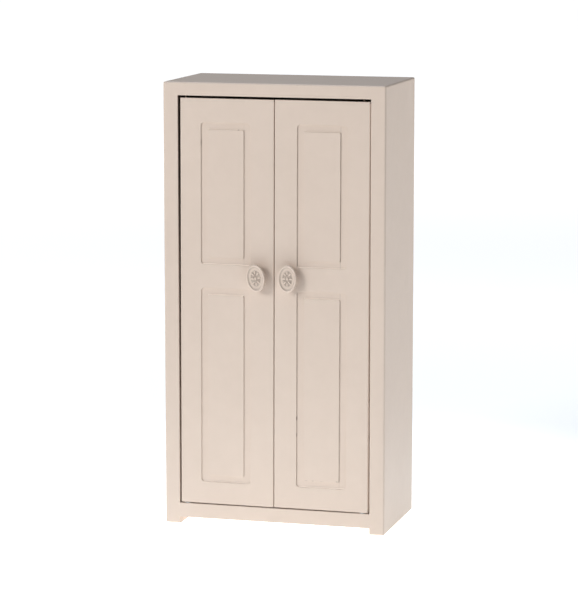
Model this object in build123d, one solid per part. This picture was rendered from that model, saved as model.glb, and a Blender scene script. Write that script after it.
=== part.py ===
from build123d import *
import os
from math import cos, radians, sin

# Miniature wardrobe for a dolls' house: a painted carcass of five boards with two inset doors that turn
# on steel pins, oval knobs, a hanging rail and a hat shelf. Millimetres. +Z is up, the doors face -Y, and
# the origin is on the floor at the centre of the whole outline, knobs included.

# Carcass
width = 112.0  # over the two side boards
depth = 61.0  # front edges to back, without the knobs
height = 220.0
side_board = 7.5
top_board = 6.6
bottom_board = 7.1
foot = 3.4  # the side boards run down past the bottom board as runners
sanded = 0.9  # radius of the sanded outer edges
back_board = 3.0  # thin back panel, let into a rebate
rebate = 3.0  # how far the back panel laps onto each board

# Doors
door_board = 6.0
door_recess = 0.2  # door faces lie this far behind the carcass edges
gap_left = 0.9  # between the left side board and its door, halfway up
gap_right = 0.5
gap_meeting = 0.3  # between the two doors
gap_top = 1.2
gap_bottom = 0.5
door_lean = 0.15  # degrees; both doors hang a hair out of square, their tops to the right
hinge_edge_eased = 0.7  # radius of the long front edge that swings past the side board
meeting_edge_eased = 0.4  # and of the one where the doors meet
left_panels = (-37.0, -11.85)  # outer edges of the routed moats, from the middle of the carcass
right_panels = (11.7, 36.7)
moat = 3.4  # width of the routed moat round each raised field
moat_depth = 0.6
moat_corner = 1.7  # outer corner radius, left by the cutter
field_corner = 0.7
upper_panel = (130.8, 200.4)  # heights of the moat's outer edges
lower_panel = (21.9, 119.1)

# Pin hinges
pin_radius = 0.6
pin_grip = 5.0  # length of pin pressed into the top or bottom board
pin_in_door = 6.5
hole_spare = 0.5  # the hole in the door is this much deeper than the pin reaches
running_gap = 0.05  # radial clearance of the pin in the door
pin_from_side = 3.7  # pin axis to the side board
pin_depth = 1.9  # pin axis to the door's front face
washer_radius = 1.8
washer_thick = 0.35

# Oval knobs
knob_left_at = (-7.65, 125.6)  # across from the middle of the carcass, and up
knob_right_at = (8.35, 125.9)
knob_half_width = 4.75
knob_half_height = 6.75
knob_stem = 3.2  # length of the round stem behind the oval head
knob_stem_radius = 2.3
knob_head = 2.6  # thickness of the oval head
knob_rim = 0.95
knob_recess = 0.5
knob_front_eased = 0.45
knob_back_eased = 0.8
petals = 8
petal_length = 2.1
petal_width = 0.9
petal_ring = (1.75, 2.9)  # half width and half height of the oval that the petals sit on
petal_heart = (0.5, 0.75)  # half width and half height of the oval in their middle
petal_rise = 0.35
knob_tilt_left = 8.0  # degrees, the left knob is screwed on a little askew

# Fittings
knob_screw_radius = 0.9
knob_screw_in_knob = 4.0
screw_head_radius = 1.9
screw_head = 1.2
screw_head_eased = 0.5
screw_slot = (2.8, 0.5)  # length and width of each stroke of the cross slot
screw_slot_depth = 0.5
rail_radius = 2.5
rail_height = 164.0
socket_depth = 3.0  # blind sockets for the rail in the side boards
shelf_board = 4.0
shelf_height = 176.0  # underside of the hat shelf
shelf_housing = 2.0  # the shelf's ends are let into the side boards
shelf_setback = 6.0  # shelf's front edge behind the closed doors
shelf_eased = 0.6
stop_half = 34.0
stop_depth = 5.0
stop_rise = 6.2
stop_gap = 0.3
disc_radius = 2.0  # catch magnets and their steel strike plates
magnet_thick = 2.0
strike_thick = 0.8
catch_from_centre = 7.0
catch_above_middle = 0.6  # catch discs sit this far above the stop's mid-height
dowel_radius = 1.5
dowel_length = 16.0
dowel_in_side = 5.0
dowel_spread = 20.0  # dowels sit this far either side of the carcass's middle
brad_radius = 0.45
brad_length = 8.0
brad_head_radius = 0.85
brad_head = 0.4
side_brads = 4  # down each side of the back panel
side_brad_first = 22.0  # the lowest one above the bottom board
side_brad_pitch = 56.5
end_brad_spread = 24.0  # brads at the panel's top and bottom, either side of its middle

# Places that follow from the sizes above
knob_reach = knob_stem + knob_head - door_recess
front = (knob_reach - depth) / 2
back = front + depth
middle = (front + back) / 2
outer = width / 2
inner = outer - side_board
under_top = height - top_board
on_bottom = foot + bottom_board
door_front = front + door_recess
door_back = door_front + door_board
door_width = inner - (gap_left + gap_right + gap_meeting) / 2
door_low = on_bottom + gap_bottom
door_high = under_top - gap_top
panel_front = back - back_board
pin_x = inner - pin_from_side
pin_y = door_front + pin_depth
catch_height = on_bottom + stop_rise / 2 + catch_above_middle
hair = 0.01  # lets a cutter run a little past the face that it opens


def block(low, high):
    """Rectangular block between two opposite corners."""
    size = [b - a for a, b in zip(low, high)]
    return Pos(*low) * Box(*size, align=(Align.MIN, Align.MIN, Align.MIN))


def rod(start, direction, radius, length):
    """Round rod from a point along a direction."""
    ends = (Align.CENTER, Align.CENTER, Align.MIN)
    return Plane(start, z_dir=direction) * Cylinder(radius, length, align=ends)


def cut(shape, tools):
    """The shape with each tool taken out of it."""
    for tool in tools:
        shape -= tool
    return shape


def on_right(shape):
    """The right-hand copy of a left-hand piece."""
    return mirror(shape, Plane.YZ)


def both_hands(shape):
    return [shape, on_right(shape)]


def sanded_block():
    """The whole carcass as one block with sanded edges, which every board is trimmed to."""
    whole = block((-outer, front, 0), (outer, back, height))
    return fillet(whole.edges(), sanded)


def dowels_left():
    """Dowels that join the top and bottom boards to the left side board."""
    start = -inner - dowel_in_side
    heights = (foot + bottom_board / 2, height - top_board / 2)
    places = [(start, middle + s * dowel_spread, z) for z in heights for s in (-1, 1)]
    return [rod(place, (1, 0, 0), dowel_radius, dowel_length) for place in places]


def brad(x, z):
    """One flush brad, driven forwards through the back panel."""
    head = rod((x, back, z), (0, -1, 0), brad_head_radius, brad_head)
    return head + rod((x, back, z), (0, -1, 0), brad_radius, brad_length)


def back_brads():
    side_x = inner + rebate / 2
    side_z = [on_bottom + side_brad_first + side_brad_pitch * i for i in range(side_brads)]
    end_z = (on_bottom - rebate / 2, under_top + rebate / 2)
    places = [(s * side_x, z) for s in (-1, 1) for z in side_z]
    places += [(s * end_brad_spread, z) for s in (-1, 1) for z in end_z]
    return [brad(x, z) for x, z in places]


def back_panel():
    low, high = on_bottom - rebate, under_top + rebate
    return block((-inner - rebate, panel_front, low), (inner + rebate, back, high))


def shelf():
    reach = inner + shelf_housing
    edge = door_back + shelf_setback
    board = block((-reach, edge, shelf_height), (reach, panel_front, shelf_height + shelf_board))
    return fillet(board.edges().filter_by(Axis.X).group_by(Axis.Y)[0], shelf_eased)


def hanging_rail():
    reach = inner + socket_depth
    y = (door_back + panel_front) / 2
    return rod((-reach, y, rail_height), (1, 0, 0), rail_radius, 2 * reach)


def pin_top():
    length = pin_grip + gap_top + pin_in_door
    return rod((-pin_x, pin_y, under_top + pin_grip), (0, 0, -1), pin_radius, length)


def pin_bottom():
    length = pin_grip + gap_bottom + pin_in_door
    return rod((-pin_x, pin_y, on_bottom - pin_grip), (0, 0, 1), pin_radius, length)


def washer():
    start = (-pin_x, pin_y, on_bottom)
    ring = rod(start, (0, 0, 1), washer_radius, washer_thick)
    return ring - rod(start, (0, 0, 1), pin_radius + running_gap, washer_thick)


def side_left():
    board = block((-outer, front, 0), (-inner, back, height)) & sanded_block()
    fittings = [back_panel(), shelf(), hanging_rail(), *dowels_left(), *back_brads()]
    return cut(board, fittings)


def cross_board(low, high, pin):
    """The top or bottom board, between the side boards, bored for one pair of hinge pins."""
    board = block((-inner, front, low), (inner, back, high)) & sanded_block()
    dowels = [hand for dowel in dowels_left() for hand in both_hands(dowel)]
    return cut(board, [back_panel(), *dowels, *back_brads(), *both_hands(pin)])


def magnet():
    y = door_back + stop_gap
    return rod((-catch_from_centre, y, catch_height), (0, 1, 0), disc_radius, magnet_thick)


def strike_plate():
    return rod((-catch_from_centre, door_back, catch_height), (0, -1, 0), disc_radius, strike_thick)


def door_stop():
    """Strip on the bottom board that both closed doors come to rest against, bored for the magnets."""
    y = door_back + stop_gap
    low = (-stop_half, y, on_bottom)
    strip = block(low, (stop_half, y + stop_depth, on_bottom + stop_rise))
    return cut(strip, both_hands(magnet()))


def knob_screw(at):
    """Pan-head screw from the inside of a door into its knob."""
    x, z = at
    start = (x, door_back, z)
    shank = rod(start, (0, -1, 0), knob_screw_radius, door_board + knob_screw_in_knob)
    head = rod(start, (0, 1, 0), screw_head_radius, screw_head)
    head = fillet(head.edges().sort_by(Axis.Y)[-1], screw_head_eased)
    half_length, half_width = screw_slot[0] / 2, screw_slot[1] / 2
    top = door_back + screw_head
    slot = block((x - half_length, top - screw_slot_depth, z - half_width),
                 (x + half_length, top + hair, z + half_width))
    across = slot.rotate(Axis((x, 0, z), (0, 1, 0)), 90)
    return shank + (head - slot - across)


def rosette():
    """Petals of the generic rosette, set out on an oval round its heart."""
    outlines = [Ellipse(*petal_heart)]
    for i in range(petals):
        turn = 360 * i / petals
        x, y = petal_ring[0] * cos(radians(turn)), petal_ring[1] * sin(radians(turn))
        outlines.append(Pos(x, y) * Rot(0, 0, turn) * Ellipse(petal_length / 2, petal_width / 2))
    return outlines


def knob(at, tilt):
    """Oval knob with a raised rim and a small rosette in its field, on a round stem."""
    stem = Cylinder(knob_stem_radius, knob_stem, align=(Align.CENTER, Align.CENTER, Align.MIN))
    head = extrude(Ellipse(knob_half_width, knob_half_height), knob_head)
    head = fillet(head.edges().sort_by(Axis.Z)[-1], knob_front_eased)
    head = fillet(head.edges().sort_by(Axis.Z)[0], knob_back_eased)
    field = Ellipse(knob_half_width - knob_rim, knob_half_height - knob_rim)
    floor = knob_head - knob_recess
    head -= Pos(0, 0, floor) * extrude(field, knob_recess)
    for outline in rosette():
        head += Pos(0, 0, floor) * extrude(outline, petal_rise)
    x, z = at
    face = Plane((x, door_front, z), x_dir=(1, 0, 0), z_dir=(0, -1, 0))
    return face * Rot(0, 0, tilt) * (stem + Pos(0, 0, knob_stem) * head)


def moat_ring(hand, low, high):
    """Cutter for one routed moat: a rounded frame round the raised field."""
    across = left_panels if hand < 0 else right_panels
    size = (across[1] - across[0], high - low)
    outline = RectangleRounded(*size, moat_corner)
    outline -= RectangleRounded(size[0] - 2 * moat, size[1] - 2 * moat, field_corner)
    centre = ((across[0] + across[1]) / 2, door_front, (low + high) / 2)
    face = Plane(centre, x_dir=(1, 0, 0), z_dir=(0, 1, 0))
    return extrude(face * outline, moat_depth)


def door(hand):
    """Left (-1) or right (1) door: one board with two routed panels, drilled for its fittings."""
    left = gap_left - inner if hand < 0 else inner - gap_right - door_width
    right = left + door_width
    board = block((left, door_front, door_low), (right, door_back, door_high))
    in_front = board.edges().filter_by(Axis.Z).group_by(Axis.Y)[0].sort_by(Axis.X)
    board = fillet(in_front[0 if hand < 0 else -1], hinge_edge_eased)
    in_front = board.edges().filter_by(Axis.Z).group_by(Axis.Y)[0].sort_by(Axis.X)
    board = fillet(in_front[-1 if hand < 0 else 0], meeting_edge_eased)
    board = cut(board, [moat_ring(hand, *upper_panel), moat_ring(hand, *lower_panel)])
    middle_of_door = Axis(((left + right) / 2, 0, (door_low + door_high) / 2), (0, 1, 0))
    board = board.rotate(middle_of_door, door_lean)
    bore = pin_radius + running_gap
    hole = pin_in_door + hole_spare
    x, z = knob_left_at if hand < 0 else knob_right_at
    screw = (x, door_back, z)
    plate = strike_plate()
    return cut(board, [
        rod((hand * pin_x, pin_y, door_high + gap_top), (0, 0, -1), bore, hole + gap_top),
        rod((hand * pin_x, pin_y, on_bottom), (0, 0, 1), bore, hole + gap_bottom),
        rod(screw, (0, -1, 0), knob_screw_radius, door_board),
        plate if hand < 0 else on_right(plate),
    ])


def pieces():
    """Every piece by name. Pieces that come in pairs are modelled left-handed and mirrored."""
    knob_left, screw_left = knob(knob_left_at, knob_tilt_left), knob_screw(knob_left_at)
    knob_right, screw_right = knob(knob_right_at, 0), knob_screw(knob_right_at)
    named = {
        "top_board": cross_board(under_top, height, pin_top()),
        "bottom_board": cross_board(foot, on_bottom, pin_bottom()),
        "back_panel": cut(back_panel(), back_brads()),
        "shelf": shelf(),
        "hanging_rail": hanging_rail(),
        "door_stop": door_stop(),
        "door_left": door(-1),
        "door_right": door(1),
        "knob_left": knob_left - screw_left,
        "knob_right": knob_right - screw_right,
        "knob_screw_left": screw_left,
        "knob_screw_right": screw_right,
        "board_dowels": Compound([hand for dowel in dowels_left() for hand in both_hands(dowel)]),
        "back_panel_brads": Compound(back_brads()),
    }
    handed = {
        "side": side_left(),
        "hinge_pin_top": pin_top(),
        "hinge_pin_bottom": pin_bottom(),
        "hinge_washer": washer(),
        "catch_magnet": magnet(),
        "strike_plate": strike_plate(),
    }
    for name, shape in handed.items():
        named[name + "_left"] = shape
        named[name + "_right"] = on_right(shape)
    return named


os.makedirs("parts", exist_ok=True)
for name, shape in pieces().items():
    export_step(shape, f"parts/{name}.step")
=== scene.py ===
import math
import bmesh
import bpy
from mathutils import Matrix, Vector


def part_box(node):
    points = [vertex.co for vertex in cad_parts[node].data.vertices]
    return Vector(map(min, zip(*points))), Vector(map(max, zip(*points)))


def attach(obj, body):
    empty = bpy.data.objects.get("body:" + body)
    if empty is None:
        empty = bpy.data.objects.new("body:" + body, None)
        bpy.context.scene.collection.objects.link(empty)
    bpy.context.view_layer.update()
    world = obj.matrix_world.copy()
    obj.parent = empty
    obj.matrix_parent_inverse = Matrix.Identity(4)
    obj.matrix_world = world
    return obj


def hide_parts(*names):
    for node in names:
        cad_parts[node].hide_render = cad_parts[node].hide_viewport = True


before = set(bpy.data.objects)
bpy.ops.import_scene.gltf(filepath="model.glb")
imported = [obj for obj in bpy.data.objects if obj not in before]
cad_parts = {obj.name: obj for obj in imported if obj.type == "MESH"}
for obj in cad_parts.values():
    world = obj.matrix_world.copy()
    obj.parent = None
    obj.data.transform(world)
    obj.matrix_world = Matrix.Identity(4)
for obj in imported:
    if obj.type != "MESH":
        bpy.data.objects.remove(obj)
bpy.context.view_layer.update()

# Studio: a white floor that runs out of sight and a long lens. A soft key light stands in front on the
# left, a weaker one behind on the right and a cool one overhead, and the floor itself glows.
mm = 0.001
carcass_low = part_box("side_left")[0]
carcass_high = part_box("side_right")[1]
carcass_middle = (carcass_low + carcass_high) / 2

bpy.ops.object.select_all(action="DESELECT")
bpy.ops.mesh.primitive_plane_add(size=40)
floor = bpy.context.active_object
floor.name = "floor"


def towards(turn, rise):
    """The direction from the wardrobe at a turn from its front, to its left if negative, and a rise."""
    turn, rise = math.radians(turn), math.radians(rise)
    return Vector((math.sin(turn) * math.cos(rise), -math.cos(turn) * math.cos(rise), math.sin(rise)))


def soft_light(name, turn, rise, distance, size, power, colour=(1.0, 1.0, 1.0)):
    """A soft box that looks at the middle of the wardrobe. The camera doesn't see it."""
    away = towards(turn, rise)
    turned = (-away).to_track_quat("-Z", "Y").to_euler()
    bpy.ops.object.light_add(type="AREA", location=carcass_middle + away * distance, rotation=turned)
    light = bpy.context.active_object
    light.name = name
    light.visible_camera = False
    light.data.shape = "RECTANGLE"
    light.data.size, light.data.size_y = size
    light.data.energy = power
    light.data.color = colour


soft_light("key_light", -32, 22, 2.4, (0.9, 0.9), 26.4)
soft_light("rear_light", 112, 4, 1.3, (0.5, 0.5), 4.95)
soft_light("overhead_light", -90, 76, 1.5, (1.2, 1.2), 13.8, (0.92, 1.04, 1.19))

view_from = towards(15.5, 8.767)
look_at = Vector((-0.775 * mm, carcass_low.y + 31 * mm, 107.64 * mm))
bpy.ops.object.camera_add(location=look_at + view_from * 1.4081)
camera = bpy.context.active_object
camera.rotation_euler = (-view_from).to_track_quat("-Z", "Y").to_euler()
camera.data.lens = 166.9
camera.data.sensor_width = 36.0
camera.data.clip_end = 60.0
bpy.context.scene.camera = camera
bpy.context.scene.view_settings.view_transform = "Standard"


class Socket:
    """A shader value. Arithmetic on it adds Math nodes, and add() puts in any other node."""

    def __init__(self, output):
        self.output = output

    def add(self, kind, settings=(), inputs=(), output=0):
        """A new node: its settings go first, then values or links for its sockets."""
        node = self.output.id_data.nodes.new("ShaderNode" + kind)
        for name, value in dict(settings).items():
            if name == "stops":
                self.set_stops(node.color_ramp, value)
            else:
                setattr(node, name, value)
        for name, value in dict(inputs).items():
            if isinstance(value, Socket):
                node.id_data.links.new(value.output, node.inputs[name])
            else:
                node.inputs[name].default_value = value
        return Socket(node.outputs[output])

    def set_stops(self, ramp, stops):
        while len(ramp.elements) < len(stops):
            ramp.elements.new(0.5)
        for element, (position, colour) in zip(ramp.elements, stops):
            element.position = position
            element.color = (*colour, 1.0)

    def math(self, operation, *others):
        return self.add("Math", {"operation": operation}, enumerate((self, *others)))

    def __add__(self, other):
        return self.math("ADD", other)

    __radd__ = __add__

    def __mul__(self, other):
        return self.math("MULTIPLY", other)

    __rmul__ = __mul__

    def __sub__(self, other):
        return self.math("SUBTRACT", other)

    def __rsub__(self, other):
        return self * -1 + other

    def __truediv__(self, other):
        return self.math("DIVIDE", other)

    def clamp(self):
        return self.math("MAXIMUM", 0.0).math("MINIMUM", 1.0)

    def off(self, value):
        """How far this value is from another."""
        return (self - value).math("ABSOLUTE")

    def axis(self, index):
        """The X, Y or Z of this place."""
        return self.add("SeparateXYZ", {}, {0: self}, output=index)

    def distance(self):
        """How far this place is from the origin."""
        return self.add("VectorMath", {"operation": "LENGTH"}, {0: self}, output=1)

    def fade(self, start, end):
        """0 below the start value, 1 above the end value and smooth between."""
        limits = {"Value": self, "From Min": start, "From Max": end}
        return self.add("MapRange", {"interpolation_type": "SMOOTHSTEP"}, limits)

    def noise(self, scale, detail=2.0, roughness=0.5):
        """Noise at this place, with so many waves to the metre."""
        sockets = {"Vector": self, "Scale": scale, "Detail": detail, "Roughness": roughness}
        return self.add("TexNoise", {}, sockets)

    def stretched(self, x, y, z):
        """This place with its axes scaled, for grain that runs one way."""
        return self.add("Mapping", {}, {"Vector": self, "Scale": (x, y, z)})

    def mix(self, first, second):
        """From the first colour to the second as this value goes from 0 to 1."""
        return self.add("Mix", {"data_type": "RGBA"}, {0: self, 6: first, 7: second}, output=2)

    def bump(self, strength, distance, under=None):
        """Normal of a surface that stands proud where this value is high."""
        sockets = {"Height": self, "Strength": strength, "Distance": distance}
        if under is not None:
            sockets["Normal"] = under
        return self.add("Bump", {}, sockets)

    def surface(self, sockets):
        """Ends the material with its surface shader."""
        shader = self.add("BsdfPrincipled", {}, sockets)
        tree = shader.output.id_data
        end = tree.nodes.new("ShaderNodeOutputMaterial")
        tree.links.new(shader.output, end.inputs["Surface"])


def new_material(name):
    """An empty material, and the place on the piece that its patterns are worked out from."""
    material = bpy.data.materials.new(name)
    material.use_nodes = True
    material.node_tree.nodes.clear()
    where = material.node_tree.nodes.new("ShaderNodeTexCoord")
    return material, Socket(where.outputs["Object"])


# The floor glows most right under the wardrobe and from two metres out, where the lights fall short.
floor_paint, place = new_material("white_floor")
floor_cloud = place.noise(3.0)
far_out = place.distance()
glow = far_out.fade(0.1, 0.3).mix((1.12, 1.18, 1.22, 1), (0.486, 0.486, 0.486, 1))
glow = far_out.fade(0.3, 0.8).mix(glow, (0.64, 0.64, 0.64, 1))
place.surface({
    "Base Color": floor_cloud.mix((0.86, 0.86, 0.86, 1), (0.9, 0.9, 0.9, 1)),
    "Roughness": 0.9,
    "Emission Color": far_out.fade(0.8, 2.0).mix(glow, (1.01, 1.01, 1.01, 1)),
    "Emission Strength": 1.0,
})
floor.data.materials.append(floor_paint)

world = bpy.data.worlds.new("studio")
world.use_nodes = True
world.node_tree.nodes["Background"].inputs["Color"].default_value = (1, 1, 1, 1)
world.node_tree.nodes["Background"].inputs["Strength"].default_value = 0.0
bpy.context.scene.world = world


# Carcass: five MDF boards, glued and dowelled, their outer edges sanded round and all sprayed with the
# same cream eggshell paint, so that no joint shows. The back panel lies in a rebate round its rear.
cream_tones = ((0.673, 0.549, 0.457, 1), (0.635, 0.516, 0.427, 1))
# The light cream is a painted highlight. The brown is painted shade, and also the colour of the real chips
# and specks on the doors.
highlight_cream = (0.98, 0.85, 0.74, 1)
shade_and_speck_brown = (0.08, 0.05, 0.03, 1)


def cream_paint(name, shade_and_specks=None, painted_highlight=None):
    """Sprayed eggshell paint with a fine orange-peel skin. It may carry painted shade, real chips and
    specks, and painted highlights.
    """
    material, place = new_material(name)
    cloud = place.noise(28, 3, 0.55) * 0.6 + place.noise(170, 3, 0.6) * 0.4
    tone = ((cloud - 0.5) * 2.2 + 0.5).clamp()
    peel = place.noise(650, 2, 0.5) * 0.7 + place.noise(2600, 2, 0.5) * 0.3
    paint = tone.mix(*cream_tones)
    # Painted highlight: lighter cream where the mask asks for it.
    if painted_highlight is not None:
        paint = painted_highlight(place).clamp().mix(paint, highlight_cream)
    # Painted shade, and on the doors the real chips and specks: brown where the mask asks for it.
    if shade_and_specks is not None:
        paint = shade_and_specks(place).clamp().mix(paint, shade_and_speck_brown)
    place.surface({
        "Base Color": paint,
        "Roughness": place.noise(400, 3, 0.6) * 0.14 + 0.43,
        "Specular IOR Level": 0.45,
        "Normal": peel.bump(0.25, 0.06 * mm),
    })
    return material


def near(a, b):
    return abs(a - b) < 0.02 * mm


def centre_of(part):
    return sum((vert.co for vert in part.verts), Vector()) / len(part.verts)


def runs(edge, axis):
    """Whether an edge runs along an axis."""
    step = edge.verts[1].co - edge.verts[0].co
    return abs(step[axis]) > 0.999 * step.length


def put_down():
    """Leaves edit mode with nothing selected, ready for the next piece."""
    if bpy.context.mode != "OBJECT":
        bpy.ops.object.mode_set(mode="OBJECT")
    bpy.ops.object.select_all(action="DESELECT")


def start_block(name, low, high):
    """A sawn block between two corners, left in edit mode."""
    put_down()
    size = Vector(high) - Vector(low)
    bpy.ops.mesh.primitive_cube_add(size=1, location=(Vector(high) + Vector(low)) / 2, scale=size)
    bpy.ops.object.transform_apply()
    piece = bpy.context.active_object
    piece.name = name
    bpy.ops.object.mode_set(mode="EDIT")
    return piece


def pick(piece, kind, wanted):
    """Selects the edges or faces that a test agrees to, and nothing else."""
    bpy.ops.mesh.select_mode(type=kind)
    bpy.ops.mesh.select_all(action="DESELECT")
    mesh = bmesh.from_edit_mesh(piece.data)
    for part in mesh.edges if kind == "EDGE" else mesh.faces:
        if wanted(part):
            part.select_set(True)
    bmesh.update_edit_mesh(piece.data)


def round_edges(piece, radius, segments, wanted):
    """Rounds the edges that a test agrees to, in edit mode."""
    pick(piece, "EDGE", wanted)
    bpy.ops.mesh.bevel(offset=radius, segments=segments, affect="EDGES")


def apply_modifier(piece, kind, **settings):
    bpy.context.view_layer.objects.active = piece
    modifier = piece.modifiers.new(kind.lower(), kind)
    for name, value in settings.items():
        setattr(modifier, name, value)
    bpy.ops.object.modifier_apply(modifier=modifier.name)


def carve(piece, cutters, operation="DIFFERENCE"):
    """Takes each cutter out of the piece, or unites them with it, and removes the cutters."""
    put_down()
    for cutter in cutters:
        apply_modifier(piece, "BOOLEAN", operation=operation, solver="EXACT", object=cutter)
        bpy.data.objects.remove(cutter)


def cutting_block(low, high):
    cutter = start_block("cutter", low, high)
    put_down()
    return cutter


def rod(name, start, end, radius, sides):
    """A round bar between two points, in object mode."""
    start, end = Vector(start), Vector(end)
    turn = (end - start).to_track_quat("Z", "Y").to_euler()
    put_down()
    bpy.ops.mesh.primitive_cylinder_add(
        vertices=sides, radius=radius, depth=(end - start).length, location=(start + end) / 2, rotation=turn)
    bpy.ops.object.transform_apply()
    bpy.context.active_object.name = name
    return bpy.context.active_object


def ease(piece, width, segments=2):
    """Takes the sharpness off every edge that is left, as sanding and paint do."""
    put_down()
    apply_modifier(piece, "BEVEL", width=width, segments=segments, limit_method="ANGLE",
                   angle_limit=math.radians(50))


def fit(piece, body, node, slot, material, smooth=35):
    """Gives a finished piece its shading, its finish and its place on the model."""
    put_down()
    piece.select_set(True)
    bpy.context.view_layer.objects.active = piece
    bpy.ops.object.shade_smooth_by_angle(angle=math.radians(smooth))
    apply_modifier(piece, "WEIGHTED_NORMAL", keep_sharp=True)
    piece.data.materials.clear()
    piece.data.materials.append(material)
    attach(piece, body)
    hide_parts(node)


def on_outline(edge):
    """Whether an edge lies on two outside faces of the carcass."""
    where = centre_of(edge)
    return sum(near(where[i], carcass_low[i]) or near(where[i], carcass_high[i]) for i in range(3)) > 1


opening_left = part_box("side_left")[1].x
opening_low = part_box("bottom_board")[1].z
opening_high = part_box("top_board")[0].z
# How wide the painted shade along the outer edges of the carcass is.
edge_shade_width = 1.1 * mm


def painted_edge_and_gap_shade(place):
    """Painted shade on the rounded outer edges at the top and on the right, darker higher up, and inside the
    left board just behind the door edge, where the left gap falls dark.
    """
    x, depth, z = place.axis(0), place.axis(1) - carcass_low.y, place.axis(2)
    near_right = 1 - x.off(carcass_high.x).fade(0.0, edge_shade_width)
    near_front = 1 - depth.off(0.0).fade(0.0, edge_shade_width)
    near_top = 1 - z.off(carcass_high.z).fade(0.0, edge_shade_width)
    high_up = z.fade(60 * mm, carcass_high.z)
    outside = near_front * near_right * (high_up * 0.16 + 0.05)
    outside = outside + near_top * near_right * 0.24 + near_top * near_front * 0.13
    inner_face = 1 - x.off(opening_left).fade(0.05 * mm, 0.2 * mm)
    below_top = 1 - z.fade(opening_high - 0.3 * mm, opening_high - 0.05 * mm)
    by_door_edge = depth.fade(0.3 * mm, 0.6 * mm) * (1 - depth.fade(4 * mm, 7 * mm))
    return outside + inner_face * below_top * by_door_edge * (high_up * 0.75 + 0.15)


sanded = 0.9 * mm
opening_eased = 0.3 * mm
board_paint = cream_paint("cream_board_paint")
# The carcass paint carries painted shade on its outer edges and inside the left gap.
carcass_paint = cream_paint("cream_carcass_paint", painted_edge_and_gap_shade)
panel_low, panel_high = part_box("back_panel")
shelf_low, shelf_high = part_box("shelf")
rail_low, rail_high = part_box("hanging_rail")


def edge_cutter(inner_face, hand):
    """Rounds the edge of the door opening on a side board, from the bottom board to the top board."""
    x, y = inner_face + hand * opening_eased, carcass_low.y + opening_eased
    beyond = 0.2 * mm
    near_side, far_side = sorted((x, inner_face - hand * beyond))
    cutter = cutting_block((near_side, carcass_low.y - beyond, opening_low), (far_side, y, opening_high))
    carve(cutter, [rod("cutter", (x, y, opening_low - mm), (x, y, opening_high + mm), opening_eased, 32)])
    return cutter


def side_board(name, node, hand):
    """A side board, rounded outside, with its rebate, shelf housing and rail socket cut inside."""
    low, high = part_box(node)
    piece = start_block(name, low, high)
    round_edges(piece, sanded, 5, on_outline)
    rail_y, rail_z = (rail_low.y + rail_high.y) / 2, (rail_low.z + rail_high.z) / 2
    rail_radius = (rail_high.z - rail_low.z) / 2
    past_back = panel_high + Vector((0, 1 * mm, 0))
    carve(piece, [
        cutting_block(panel_low, past_back),
        cutting_block(shelf_low, shelf_high),
        rod("cutter", (rail_low.x, rail_y, rail_z), (rail_high.x, rail_y, rail_z), rail_radius, 48),
        edge_cutter(high.x if hand < 0 else low.x, hand),
    ])
    fit(piece, "cabinet", node, "cream_paint", carcass_paint)


def cross_board(name, node, opening_face):
    """The top or bottom board, rounded where it meets the outside and eased round the door opening."""
    piece = start_block(name, *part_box(node))
    round_edges(piece, sanded, 5, on_outline)
    round_edges(piece, opening_eased, 3, lambda edge: (
        runs(edge, 0) and near(centre_of(edge).z, opening_face) and near(centre_of(edge).y, carcass_low.y)))
    carve(piece, [cutting_block(panel_low, panel_high + Vector((0, 1 * mm, 0)))])
    fit(piece, "cabinet", node, "cream_paint", carcass_paint)


side_board("left_side_board", "side_left", -1)
side_board("right_side_board", "side_right", 1)
cross_board("carcass_top", "top_board", opening_high)
cross_board("carcass_bottom", "bottom_board", opening_low)

# Doors: one board each, routed with two moats that leave raised fields, the long front edges rounded so
# that the door clears the carcass as it turns. Both hang a hair out of square, their tops to the right.
panels_across = {"left": (-37.0 * mm, -11.85 * mm), "right": (11.7 * mm, 36.7 * mm)}
panel_heights = ((21.9 * mm, 119.1 * mm), (130.8 * mm, 200.4 * mm))
moat = 3.4 * mm
moat_depth = 0.6 * mm
moat_corner = 1.7 * mm
field_corner = 0.7 * mm
hinge_edge_rounded = 0.7 * mm
meeting_edge_rounded = 0.4 * mm
door_lean = math.radians(0.15)
pin_play = 0.05 * mm
hole_spare = 0.5 * mm
# How far the painted shade spreads from a moat wall that faces right.
wall_shade_spread = (0.1 * mm, 0.34 * mm)
# How far the painted highlight spreads from a level moat wall.
wall_highlight_spread = (0.3 * mm, 0.5 * mm)
edge_strip = 1 * mm


def upright(low, high):
    """The corners of a door before it leans, from those of the box round it when it does."""
    middle = (low + high) / 2
    wide, deep, tall = high - low
    sine, cosine, both = math.sin(door_lean), math.cos(door_lean), math.cos(2 * door_lean)
    wide, tall = (wide * cosine - tall * sine) / both, (tall * cosine - wide * sine) / both
    half = Vector((wide, deep, tall)) / 2
    return middle - half, middle + half, middle


# Painted shade along the moat walls that face right on each door: how dark in the lower and in the upper
# panel.
moat_wall_shade = {"left": (0.0, 0.08), "right": (0.18, 0.22)}
# Painted highlight on the level moat walls, at the foot of the panel and the top of its field, lower panel
# first.
level_wall_highlight = {"left": ((0.6, 0.75), (0.85, 0.4)), "right": ((0.85, 0.7), (0.7, 0.3))}
# Small chips and specks in the paint: across, up, half width, half height and how dark.
specks = {
    "left": ((-36.95, 190.6, 0.3, 2.6, 0.3), (-18.0, 197.1, 0.7, 0.3, 0.45), (-15.6, 197.1, 1.9, 0.2, 0.2)),
    "right": ((11.75, 56.2, 0.3, 1.5, 0.5), (11.75, 48.0, 0.3, 1.4, 0.3), (20.0, 25.3, 0.8, 0.25, 0.5),
              (16.6, 25.3, 1.6, 0.2, 0.35), (24.5, 25.3, 2.0, 0.2, 0.25), (32.3, 25.6, 0.9, 0.3, 0.4)),
}


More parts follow.
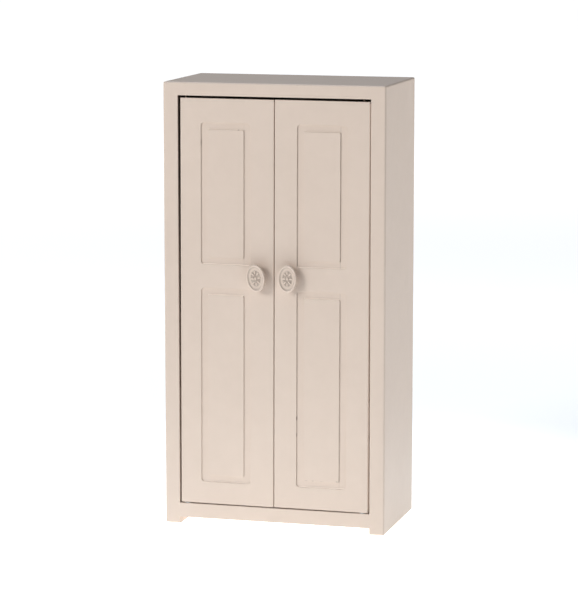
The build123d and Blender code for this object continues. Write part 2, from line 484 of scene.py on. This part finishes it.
def door_paint(hand):
    """Cream paint with painted shade on the moat walls that face right and on the edges by the top and left
    gaps, real chips and specks, and painted highlights.
    """
    left, right = panels_across[hand]
    low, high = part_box(f"door_{hand}")
    middle = (low + high) / 2
    slope = math.tan(door_lean)
    soft = 0.3 * mm

    def before_leaning(place):
        """Across, up and depth from the front, as they were before the door leaned."""
        x, z = place.axis(0), place.axis(2)
        return x - (z - middle.z) * slope, z + (x - middle.x) * slope, place.axis(1) - low.y

    def on_front(depth):
        return 1 - depth.fade(moat_depth * 1.1, moat_depth * 1.5)

    # Painted shade on the right-facing moat walls and on the door edges in the top and left gaps, together
    # with the real chips and specks.
    def shade_and_specks(place):
        x, z, depth = before_leaning(place)
        # Breaks in the painted shade lines along the moats.
        shade_breaks = place.noise(160, 3, 0.7).fade(0.3, 0.6) * 0.6 + 0.4
        marks = 0
        for share, (bottom, top) in zip(moat_wall_shade[hand], panel_heights):
            inside = (z - bottom).fade(0, 2 * soft) * (top - z).fade(0, 2 * soft)
            for wall in (left, right - moat):
                marks = marks + (1 - x.off(wall).fade(*wall_shade_spread)) * inside * share
        marks = marks * shade_breaks
        for across, up, wide, tall, share in specks[hand]:
            from_centre = x.off(across * mm) / (wide * mm) + z.off(up * mm) / (tall * mm)
            marks = marks + (1 - from_centre.fade(0.5, 1.2)) * share
        # Painted shade on the door's top edge, and on the left door's hinge edge, where the gaps fall dark.
        by_gaps = (z - high.z + edge_strip).fade(0, soft) * depth.fade(0.15 * mm, 0.35 * mm) * 0.9
        if hand == "left":
            by_left_gap = (low.x + edge_strip - x).fade(0, soft) * depth.fade(0.7 * mm, 1.2 * mm)
            by_gaps = by_gaps + by_left_gap * z.fade(60 * mm, 200 * mm) * 0.8
        return marks * on_front(depth) + by_gaps * (1 - depth.fade(5.0 * mm, 5.6 * mm))

    def painted_highlight(place):
        """Painted highlight on the level walls of the moats, and on the hinge edge of the right door low
        down.
        """
        x, z, depth = before_leaning(place)
        walls = 0
        for (foot, head), (bottom, top) in zip(level_wall_highlight[hand], panel_heights):
            for wall, margin, share in ((bottom, 0, foot), (top - moat, moat, head)):
                across = (x - left - margin).fade(0, soft) * (right - margin - x).fade(0, soft)
                walls = walls + (1 - z.off(wall).fade(*wall_highlight_spread)) * across * share
        walls = walls * depth.fade(0, 0.1 * mm) * on_front(depth)
        if hand == "left":
            return walls
        # Painted highlight on the right door's hinge edge low down, where it stands in shade in the right
        # gap.
        low_down = 1 - z.fade(50 * mm, 150 * mm)
        return walls + (x - high.x + edge_strip).fade(0, soft) * depth.fade(0.2 * mm, 0.5 * mm) * low_down

    return cream_paint(f"cream_{hand}_door_paint", shade_and_specks, painted_highlight)


def door(hand):
    """The left or the right door."""
    node = f"door_{hand}"
    low, high, middle = upright(*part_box(node))
    across = panels_across[hand]
    outlines = [(across[0], across[1], bottom, top) for bottom, top in panel_heights]

    def within(where, outline, margin):
        left, right, bottom, top = outline
        return left + margin < where.x < right - margin and bottom + margin < where.z < top - margin

    def corner_of(edge, margin):
        where = centre_of(edge)
        return runs(edge, 1) and where.y < low.y + moat_depth and any(
            near(abs(where.x - (left + right) / 2), (right - left) / 2 - margin)
            and near(abs(where.z - (bottom + top) / 2), (top - bottom) / 2 - margin)
            for left, right, bottom, top in outlines)

    piece = start_block(f"{hand}_door", low, high)
    cuts = [((x, 0, 0), (1, 0, 0)) for x in (across[0], across[0] + moat, across[1] - moat, across[1])]
    for bottom, top in panel_heights:
        cuts += [((0, 0, z), (0, 0, 1)) for z in (bottom, bottom + moat, top - moat, top)]
    for point, normal in cuts:
        bpy.ops.mesh.select_all(action="SELECT")
        bpy.ops.mesh.bisect(plane_co=point, plane_no=normal)
    pick(piece, "FACE", lambda face: near(centre_of(face).y, low.y) and any(
        within(centre_of(face), outline, 0) and not within(centre_of(face), outline, moat)
        for outline in outlines))
    bpy.ops.mesh.extrude_region_move(TRANSFORM_OT_translate={"value": (0, moat_depth, 0)})
    round_edges(piece, moat_corner, 8, lambda edge: corner_of(edge, 0))
    round_edges(piece, field_corner, 5, lambda edge: corner_of(edge, moat))
    by_hinges, by_other_door = (low.x, high.x) if hand == "left" else (high.x, low.x)
    for x, radius in ((by_hinges, hinge_edge_rounded), (by_other_door, meeting_edge_rounded)):
        round_edges(piece, radius, 5, lambda edge: (
            runs(edge, 2) and near(centre_of(edge).y, low.y) and near(centre_of(edge).x, x)))
    put_down()
    lean = Matrix.Rotation(door_lean, 4, "Y")
    piece.matrix_world = Matrix.Translation(middle) @ lean @ Matrix.Translation(-middle)
    piece.select_set(True)
    bpy.ops.object.transform_apply()
    holes = []
    for pin in ("top", "bottom"):
        pin_low, pin_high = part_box(f"hinge_pin_{pin}_{hand}")
        pin_x, pin_y = (pin_low.x + pin_high.x) / 2, (pin_low.y + pin_high.y) / 2
        above, below = (high.z + mm, pin_low.z - hole_spare), (low.z - mm, pin_high.z + hole_spare)
        ends = above if pin == "top" else below
        radius = (pin_high.x - pin_low.x) / 2 + pin_play
        holes.append(rod("cutter", (pin_x, pin_y, ends[0]), (pin_x, pin_y, ends[1]), radius, 32))
    plate_low, plate_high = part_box(f"strike_plate_{hand}")
    plate = (plate_low + plate_high) / 2
    holes.append(rod("cutter", (plate.x, plate_low.y, plate.z), (plate.x, high.y + 1 * mm, plate.z),
                     (plate_high.x - plate_low.x) / 2 + 0.05 * mm, 48))
    carve(piece, holes)
    ease(piece, 0.16 * mm)
    fit(piece, f"{hand}_door", node, "cream_paint", door_paint(hand))


door("left")
door("right")

# Hinge pins: four browned steel pins with chamfered ends, pressed into the top and bottom boards. Under
# each door a thin washer on the pin carries the door's weight.
def worn_metal(name, colour, gloss):
    """Drawn or plated metal with faint marks from handling."""
    material, place = new_material(name)
    wear = place.noise(1500, 3, 0.6)
    place.surface({
        "Base Color": place.noise(300, 2).mix(colour, tuple(c * 0.86 for c in colour[:3]) + (1,)),
        "Metallic": 1.0,
        "Roughness": wear * 0.22 + gloss,
        "Normal": place.stretched(1, 1, 0.15).noise(3800, 2).bump(0.2, 0.01 * mm),
    })
    return material


steel = worn_metal("zinc_plated_steel", (0.62, 0.61, 0.59, 1), 0.2)
dull_steel = worn_metal("browned_pin_steel", (0.16, 0.12, 0.09, 1), 0.4)


def hinge_pin(level, hand):
    """One pin, its end in the door chamfered so that the door drops over it."""
    node = f"hinge_pin_{level}_{hand}"
    low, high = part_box(node)
    x, y = (low.x + high.x) / 2, (low.y + high.y) / 2
    piece = rod(f"{level}_{hand}_pin", (x, y, low.z), (x, y, high.z), (high.x - low.x) / 2, 32)
    ease(piece, 0.25 * mm, 3)
    fit(piece, "cabinet", node, "steel", dull_steel)


def hinge_washer(hand):
    """A stamped washer round the lower pin."""
    node = f"hinge_washer_{hand}"
    low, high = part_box(node)
    x, y = (low.x + high.x) / 2, (low.y + high.y) / 2
    pin_low, pin_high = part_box(f"hinge_pin_bottom_{hand}")
    piece = rod(f"{hand}_washer", (x, y, low.z), (x, y, high.z), (high.x - low.x) / 2, 48)
    bore = (pin_high.x - pin_low.x) / 2 + pin_play
    carve(piece, [rod("cutter", (x, y, low.z - mm), (x, y, high.z + mm), bore, 32)])
    ease(piece, 0.07 * mm)
    fit(piece, "cabinet", node, "steel", steel)


for hand in ("left", "right"):
    for level in ("top", "bottom"):
        hinge_pin(level, hand)
    hinge_washer(hand)

# Knobs: cast in one piece, a round stem that swells into an oval head with a raised rim and a small
# rosette of petals in its sunken field, then sprayed to match the doors. The left one sits a little askew.
knob_rings = (  # how far from the door, half width and half height, in mm
    (0.0, 2.5, 2.5), (0.25, 2.3, 2.3), (2.6, 2.3, 2.3), (3.1, 2.7, 2.9), (3.25, 3.6, 5.4), (3.5, 4.35, 6.3),
    (3.9, 4.68, 6.67), (4.3, 4.74, 6.74), (5.25, 4.74, 6.74), (5.6, 4.6, 6.6), (5.77, 4.3, 6.3),
    (5.77, 4.1, 6.1), (5.68, 3.9, 5.9), (5.36, 3.74, 5.74), (5.28, 3.5, 5.5), (5.28, 2.4, 4.0),
)
knob_field = knob_rings[-1][0] * mm
rim_foot = (3.5 * mm, 5.5 * mm)
knob_tilt = {"left": -8.0, "right": 0.0}
petal_count = 8
petal_size = (2.1 * mm, 0.7 * mm, 0.9 * mm)
petal_oval = (1.75 * mm, 2.9 * mm)
petal_sink = 0.02 * mm
button_size = (1.1 * mm, 0.8 * mm, 1.6 * mm)


def knob_paint(hand, middle):
    """Cream paint with painted shade between the petals and along the foot of the rim."""
    tilt = math.radians(knob_tilt[hand])

    # Painted shade in the sunken field between the petals and at the foot of the rim.
    def shade_and_specks(place):
        x, z = place.axis(0) - middle.x, place.axis(2) - middle.z
        x, z = x * math.cos(tilt) - z * math.sin(tilt), x * math.sin(tilt) + z * math.cos(tilt)
        oval = place.add("CombineXYZ", {}, {0: x / rim_foot[0], 1: z / rim_foot[1]}).distance()
        above_field = middle.y - knob_field - place.axis(1)
        sunk = above_field.fade(-0.18 * mm, -0.08 * mm) * (1 - above_field.fade(0.08 * mm, 0.22 * mm))
        blotch = place.noise(700, 3, 0.7).fade(0.35, 0.6) * 0.5 + 0.5
        rosette = 1 - oval.fade(0.62, 0.8)
        rim = oval.fade(0.86, 0.98) * (1 - oval.fade(1.06, 1.1))
        return (rosette * 0.5 + rim * 0.24) * sunk * blotch

    return cream_paint(f"cream_{hand}_knob_paint", shade_and_specks)


def oval_knob(hand):
    """One knob, drawn out ring by ring from its stem, with the petals joined to its face."""
    node = f"knob_{hand}"
    low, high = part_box(node)
    middle = Vector(((low.x + high.x) / 2, high.y, (low.z + high.z) / 2))
    put_down()
    bpy.ops.mesh.primitive_circle_add(
        vertices=48, radius=mm, fill_type="NGON", location=middle, rotation=(math.radians(90), 0, 0))
    piece = bpy.context.active_object
    piece.name = f"{hand}_knob"
    bpy.ops.object.transform_apply(location=False)
    bpy.ops.object.mode_set(mode="EDIT")
    bpy.ops.mesh.select_all(action="SELECT")
    rise, wide, tall = 0.0, 1.0, 1.0
    for next_rise, next_wide, next_tall in knob_rings:
        if next_rise > 0:
            move = {"value": (0, -(next_rise - rise) * mm, 0)}
            bpy.ops.mesh.extrude_region_move(TRANSFORM_OT_translate=move)
        bpy.ops.transform.resize(value=(next_wide / wide, 1, next_tall / tall), center_override=middle)
        rise, wide, tall = next_rise, next_wide, next_tall
    bpy.ops.mesh.select_all(action="SELECT")
    bpy.ops.mesh.normals_make_consistent(inside=False)
    bpy.ops.object.mode_set(mode="OBJECT")
    apply_modifier(piece, "SUBSURF", levels=1, render_levels=1)
    field = middle.y - knob_field + petal_sink
    petals = []
    for turn in (math.tau * i / petal_count for i in range(petal_count)):
        spot = (middle.x + petal_oval[0] * math.cos(turn), field, middle.z + petal_oval[1] * math.sin(turn))
        petals.append((spot, petal_size, -turn))
    petals.append(((middle.x, field, middle.z), button_size, 0.0))
    cutters = []
    for spot, size, turn in petals:
        put_down()
        bpy.ops.mesh.primitive_uv_sphere_add(
            segments=20, ring_count=10, radius=0.5, location=spot, rotation=(0, turn, 0), scale=size)
        bpy.ops.object.transform_apply()
        cutters.append(bpy.context.active_object)
    carve(piece, cutters, "UNION")
    put_down()
    piece.select_set(True)
    bpy.context.view_layer.objects.active = piece
    piece.rotation_euler = (0, math.radians(knob_tilt[hand]), 0)
    bpy.ops.object.transform_apply()
    fit(piece, f"{hand}_door", node, "knob_paint", knob_paint(hand, middle), 60)


screw_head_rounded = 0.55 * mm
screw_shank_radius = 0.9 * mm
cross_slot = (1.4 * mm, 0.25 * mm)
cross_slot_deep = 0.6 * mm


def knob_screw(hand):
    """A pan-head screw from inside the door, with a cross slot."""
    node = f"knob_screw_{hand}"
    low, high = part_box(node)
    x, z = (low.x + high.x) / 2, (low.z + high.z) / 2
    under_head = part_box(f"door_{hand}")[1].y
    piece = rod(f"{hand}_knob_screw", (x, under_head, z), (x, high.y, z), (high.x - low.x) / 2, 40)
    bpy.ops.object.mode_set(mode="EDIT")
    round_edges(piece, screw_head_rounded, 4, lambda edge: (
        all(near(vert.co.y, high.y) for vert in edge.verts)))
    foot = high.y - cross_slot_deep
    shank = rod("cutter", (x, low.y, z), (x, under_head + 0.1 * mm, z), screw_shank_radius, 24)
    cross = [cutting_block((x - wide, foot, z - tall), (x + wide, high.y + mm, z + tall))
             for wide, tall in (cross_slot, cross_slot[::-1])]
    carve(piece, cross)
    carve(piece, [shank], "UNION")
    ease(piece, 0.05 * mm)
    fit(piece, f"{hand}_door", node, "steel", steel)


for hand in ("left", "right"):
    oval_knob(hand)
    knob_screw(hand)

# Inside: a hat shelf housed in the sides, a birch rail in blind sockets under it, and a strip on the
# bottom board that the doors shut against. Disc magnets in the strip meet steel discs let into the doors.
def birch(name, along):
    """Plain turned birch with fine grain that runs along one axis."""
    material, place = new_material(name)
    scale = [1.0, 1.0, 1.0]
    scale[along] = 0.04
    grain = place.stretched(*scale)
    tone = grain.noise(900, 4, 0.6) * 0.7 + grain.noise(260, 2, 0.5) * 0.3
    pores = ((grain.noise(2600, 2, 0.5) - 0.6) * 6).clamp()
    wood = ((tone - 0.5) * 2.4 + 0.5).clamp().mix((0.66, 0.47, 0.29, 1), (0.48, 0.31, 0.17, 1))
    place.surface({
        "Base Color": pores.mix(wood, (0.3, 0.18, 0.09, 1)),
        "Roughness": tone * 0.2 + 0.5,
        "Normal": (tone - pores * 0.6).bump(0.35, 0.05 * mm),
    })
    return material


birch_rail = birch("birch_along_x", 0)


def inside_board(name, node, slot, material, width, holes=()):
    """A plain board with eased edges and, if asked for, holes drilled in it."""
    piece = start_block(name, *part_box(node))
    ease(piece, width, 3)
    carve(piece, holes)
    fit(piece, "cabinet", node, slot, material)


def disc(name, node, body, finish, width, inset):
    """A small disc that lies in a hole, a hair below the surface round it."""
    low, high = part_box(node)
    x, z = (low.x + high.x) / 2, (low.z + high.z) / 2
    piece = rod(name, (x, low.y + inset[0], z), (x, high.y - inset[1], z), (high.x - low.x) / 2, 48)
    ease(piece, width, 2)
    fit(piece, body, node, *finish)


def magnet_hole(hand):
    """A cutter for the blind hole that a magnet is glued into."""
    low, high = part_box(f"catch_magnet_{hand}")
    x, z = (low.x + high.x) / 2, (low.z + high.z) / 2
    return rod("cutter", (x, low.y - mm, z), (x, high.y, z), (high.x - low.x) / 2 + 0.05 * mm, 48)


nickel = worn_metal("nickel_plate", (0.7, 0.68, 0.64, 1), 0.12)
inside_board("hat_shelf", "shelf", "cream_paint", board_paint, 0.5 * mm)
inside_board("bottom_door_stop", "door_stop", "cream_paint", board_paint, 0.3 * mm,
             [magnet_hole("left"), magnet_hole("right")])
for hand in ("left", "right"):
    disc(f"{hand}_magnet", f"catch_magnet_{hand}", "cabinet", ("nickel", nickel), 0.15 * mm, (0.05 * mm, 0))
    disc(f"{hand}_strike_plate", f"strike_plate_{hand}", f"{hand}_door", ("steel", steel), 0.1 * mm,
         (0, 0.05 * mm))
rail = rod("clothes_rail", (rail_low.x, (rail_low.y + rail_high.y) / 2, (rail_low.z + rail_high.z) / 2),
           (rail_high.x, (rail_low.y + rail_high.y) / 2, (rail_low.z + rail_high.z) / 2),
           (rail_high.z - rail_low.z) / 2, 64)
ease(rail, 0.3 * mm)
fit(rail, "cabinet", "hanging_rail", "rail_wood", birch_rail)

# Back: a thin painted panel in the rebate, held by brads whose heads lie just under the paint. The dowels
# that hold the boards together are glued in and never seen.
brad_rows = 4
brad_head_radius = 0.85 * mm
brad_shank_radius = 0.45 * mm
brad_head_thick = 0.4 * mm
brad_set_in = 0.08 * mm
brad_hole_deep = 0.6 * mm
brad_first_up = 22.0 * mm
brad_pitch = 56.5 * mm
brads_low, brads_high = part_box("back_panel_brads")
brad_side_x = brads_high.x - brad_head_radius
brad_end_x = 24.0 * mm
brad_end_z = (brads_low.z + brad_head_radius, brads_high.z - brad_head_radius)
brad_side_z = [opening_low + brad_first_up + brad_pitch * row for row in range(brad_rows)]
brad_places = [(side * brad_side_x, z) for side in (-1, 1) for z in brad_side_z]
brad_places += [(side * brad_end_x, z) for side in (-1, 1) for z in brad_end_z]

panel = start_block("rear_panel", panel_low, panel_high)
carve(panel, [rod("cutter", (x, panel_high.y - brad_hole_deep, z), (x, panel_high.y + mm, z),
                  brad_head_radius + 0.05 * mm, 24) for x, z in brad_places])
ease(panel, 0.15 * mm)
fit(panel, "cabinet", "back_panel", "cream_paint", board_paint)

brads = []
head_face = panel_high.y - brad_set_in
for x, z in brad_places:
    brad = rod("brad", (x, head_face - brad_head_thick, z), (x, head_face, z), brad_head_radius, 24)
    shank = rod("cutter", (x, brads_low.y, z), (x, head_face - 0.1 * mm, z), brad_shank_radius, 12)
    carve(brad, [shank], "UNION")
    ease(brad, 0.06 * mm)
    brads.append(brad)
put_down()
for brad in brads:
    brad.select_set(True)
bpy.context.view_layer.objects.active = brads[0]
bpy.ops.object.join()
brads[0].name = "rear_panel_brads"
fit(brads[0], "cabinet", "back_panel_brads", "steel", steel)
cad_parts["board_dowels"].data.materials.clear()
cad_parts["board_dowels"].data.materials.append(birch_rail)
